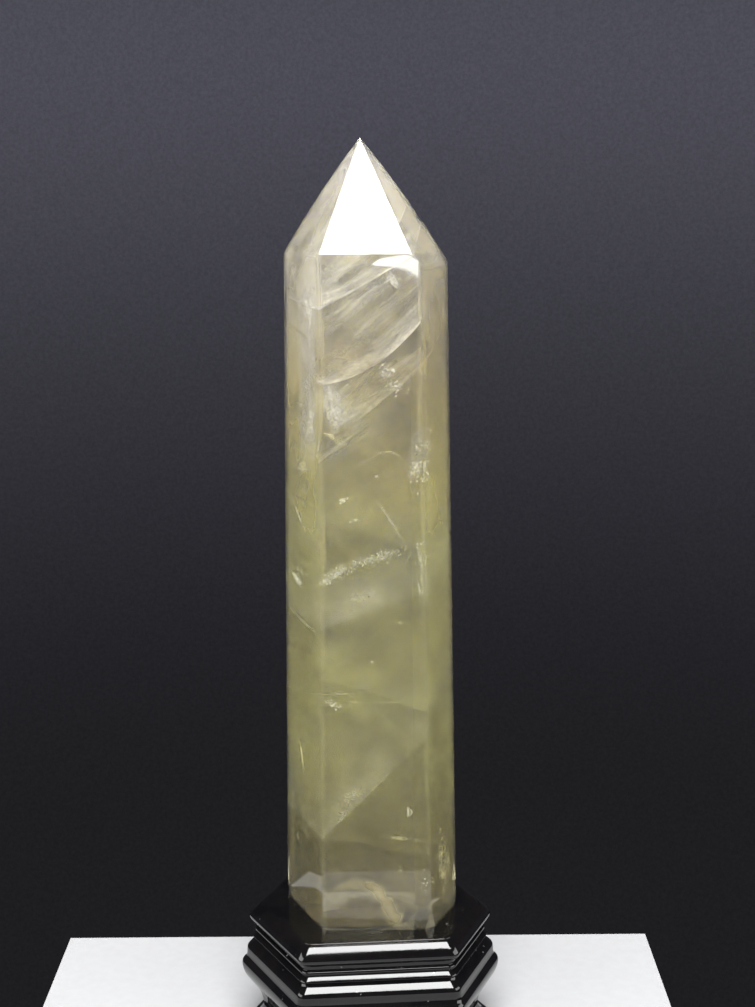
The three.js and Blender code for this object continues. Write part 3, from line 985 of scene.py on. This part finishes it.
def make_flakes(looks):
    """The small glinting cracks, larger and finer ones, and the half-moon mark."""
    flakes("flakes_upper",
           [((8.7, -20.5, 250), (3.0, 1.0, 3.0), 11),
            ((12, -20.5, 244), (3.6, 1.0, 1.8), 9),
            ((23, -18, 222), (2.4, 1.5, 4), 5),
            ((24, -18, 209), (2.2, 1.5, 5), 5),
            ((-8.6, -21, 198), (1.8, 0.8, 1.4), 9),
            ((11, -20, 286), (3.0, 1.0, 1.2), 5)],
           size=1.1, material=looks.white_flake, seed=21)
    flakes("flakes_upper_fine",
           [((8.7, -20, 250), (4.2, 1.5, 4.0), 36),
            ((12, -20, 244), (5, 1.5, 2.6), 44),
            ((22, -17, 222), (4, 2, 6), 24),
            ((23, -17, 208), (4, 2, 7), 24),
            ((4.5, -20, 208), (0.6, 0.6, 0.6), 5),
            ((-3, -21, 190), (2.6, 0.8, 1.0), 8),
            ((-8, -20, 233), (5, 1, 3), 20),
            ((11, -20, 286), (4.0, 1.5, 1.5), 20)],
           size=0.55, material=looks.white_flake, seed=24)
    flakes("flakes_golden",
           [((-13.5, -21, 225), (2.0, 0.6, 2.2), 22),
            ((-9.5, -21, 221.5), (2.4, 0.6, 1.4), 30)],
           size=0.42, material=looks.golden_flake, seed=22)
    flakes("flakes_lower",
           [((13.5, -21, 146), (0.8, 0.5, 0.5), 4),
            ((2.0, -21, 129), (0.3, 0.3, 0.3), 2),
            ((-14, -21.5, 110), (3, 1, 1.6), 18),
            ((-31, -4, 40), (0.9, 0.9, 2.4), 9),
            ((-26, -8, 45), (5, 4, 3), 20),
            ((24, -18, 24), (1.6, 1, 7), 16),
            ((-33, -1, 59), (0.6, 0.6, 1.0), 5),
            ((13, -21.5, 34), (1.0, 0.5, 2.0), 5)],
           size=0.55, material=looks.white_flake, seed=23)
    web("half_moon_flake",
        upper=((16.7, -21.4, 63.1), (16.6, -21.4, 61.0), (16.7, -21.4, 58.8)),
        lower=((17.1, -21.4, 63.1), (18.9, -21.4, 60.8), (17.1, -21.4, 58.7)),
        profile=(1.0, 0.8, 0.12, 0.06, 0.3, 0.6), material=looks.white, side_fade=0.0)


def make_veins(looks):
    """The thin bright veins behind the front and left faces."""
    vein("vein_left_upper", ((-24, -12.5, 236), (-26.5, -8.5, 226), (-29, -4, 218), (-31.8, 0.5, 207)),
         width=1.4, material=looks.pale, seed=1.5)
    vein("vein_left_lower", ((-31, -0.5, 195), (-28, -6, 189), (-24.5, -11, 182)),
         width=3.0, material=looks.pale, seed=2.5, amount=0.8)
    vein("vein_arc", ((-4, -17, 211), (1.5, -17, 214.5), (8.5, -17, 217.5), (15, -17, 215.5)),
         width=2.2, material=looks.pale, seed=3.5, amount=0.6)
    vein("vein_line", ((3.5, -18, 199), (9, -18, 191), (13, -18, 184), (17, -18, 178)),
         width=2.6, material=looks.feather, seed=4.5, width_along=(1, 0, 0.6), amount=0.3)
    vein("vein_right", ((20.6, -20, 182), (22.2, -20, 173), (23.2, -20, 163), (23.9, -20, 152)),
         width=4.0, material=looks.feather, seed=5.5, width_along=(1, 0, 0), amount=0.22)
    # a painted glint, drawn as a white sheet
    vein("vein_right_glint", ((21.2, -21.2, 163.5), (21.7, -21.2, 161), (22.2, -21.2, 158)),
         width=1.6, material=looks.white, seed=15.5, width_along=(1, 0, 0), amount=0.2)
    vein("vein_left_foot", ((-29.4, -6, 90), (-28.3, -8, 82), (-27.4, -9.5, 73)),
         width=1.8, material=looks.golden, seed=6.5, width_along=(1, -0.4, 0), amount=1.0)


def make_foot_inclusions(looks):
    """Smoke, gold and the pale arch in the foot."""
    web("smoky_foot",
        upper=((-24, -21, 47), (-8, -22, 45), (8, -22, 45.5), (26, -19, 45)),
        lower=((-24, -21, 29), (-8, -22, 31), (8, -22, 32), (26, -19, 35)),
        profile=(0.0, 0.8, 1.0, 1.0, 0.8, 0.0), material=looks.smoke, side_fade=0.04)
    web("smoky_left",
        upper=((-34, 0, 62), (-28, -10, 53), (-22, -19.5, 45)),
        lower=((-35, 0, 8), (-29, -9, 8), (-23, -20, 12)),
        profile=(0.0, 0.8, 0.9, 0.8, 0.3), material=looks.smoke, side_fade=0.03)
    vein("golden_arch",
         ((-19, -22, 22), (-10, -22, 27.2), (-1, -22, 26.6), (4, -22, 23), (8, -22, 16), (11.5, -22, 9),
          (15, -22, 3)),
         width=17.0, material=looks.arch, seed=7.7, width_along=(0.7, 0, 1), amount=0.95)
    vein("vein_golden",
         ((5, -22.5, 50), (13, -22, 48.9), (20, -20.5, 47.6), (26, -18, 45.5), (30.5, -15, 42)),
         width=4.6, material=looks.golden, seed=7.5, amount=0.42)
    feather("golden_glow", centre=(30.2, -11.5, 32), facing=(55, 0), turn=6, half_width=6.0,
            half_height=17, material=looks.golden, seed=9.5, crumple=0.5, amount=0.8)


def make_inclusions():
    """Everything that is sealed in the crystal."""
    make_haze()
    make_growth_zones()
    looks = inclusion_looks()
    make_middle_fracture(looks)
    make_low_fracture(looks)
    make_small_fracture(looks)
    make_swept_veils(looks)
    make_feathers(looks)
    make_upper_patches(looks)
    make_flakes(looks)
    make_veins(looks)
    make_foot_inclusions(looks)


make_camera()
make_world()
make_floor()
make_lights()
make_crystal()
make_inclusions()
finish_stand()

bpy.context.scene.view_settings.view_transform = "Standard"
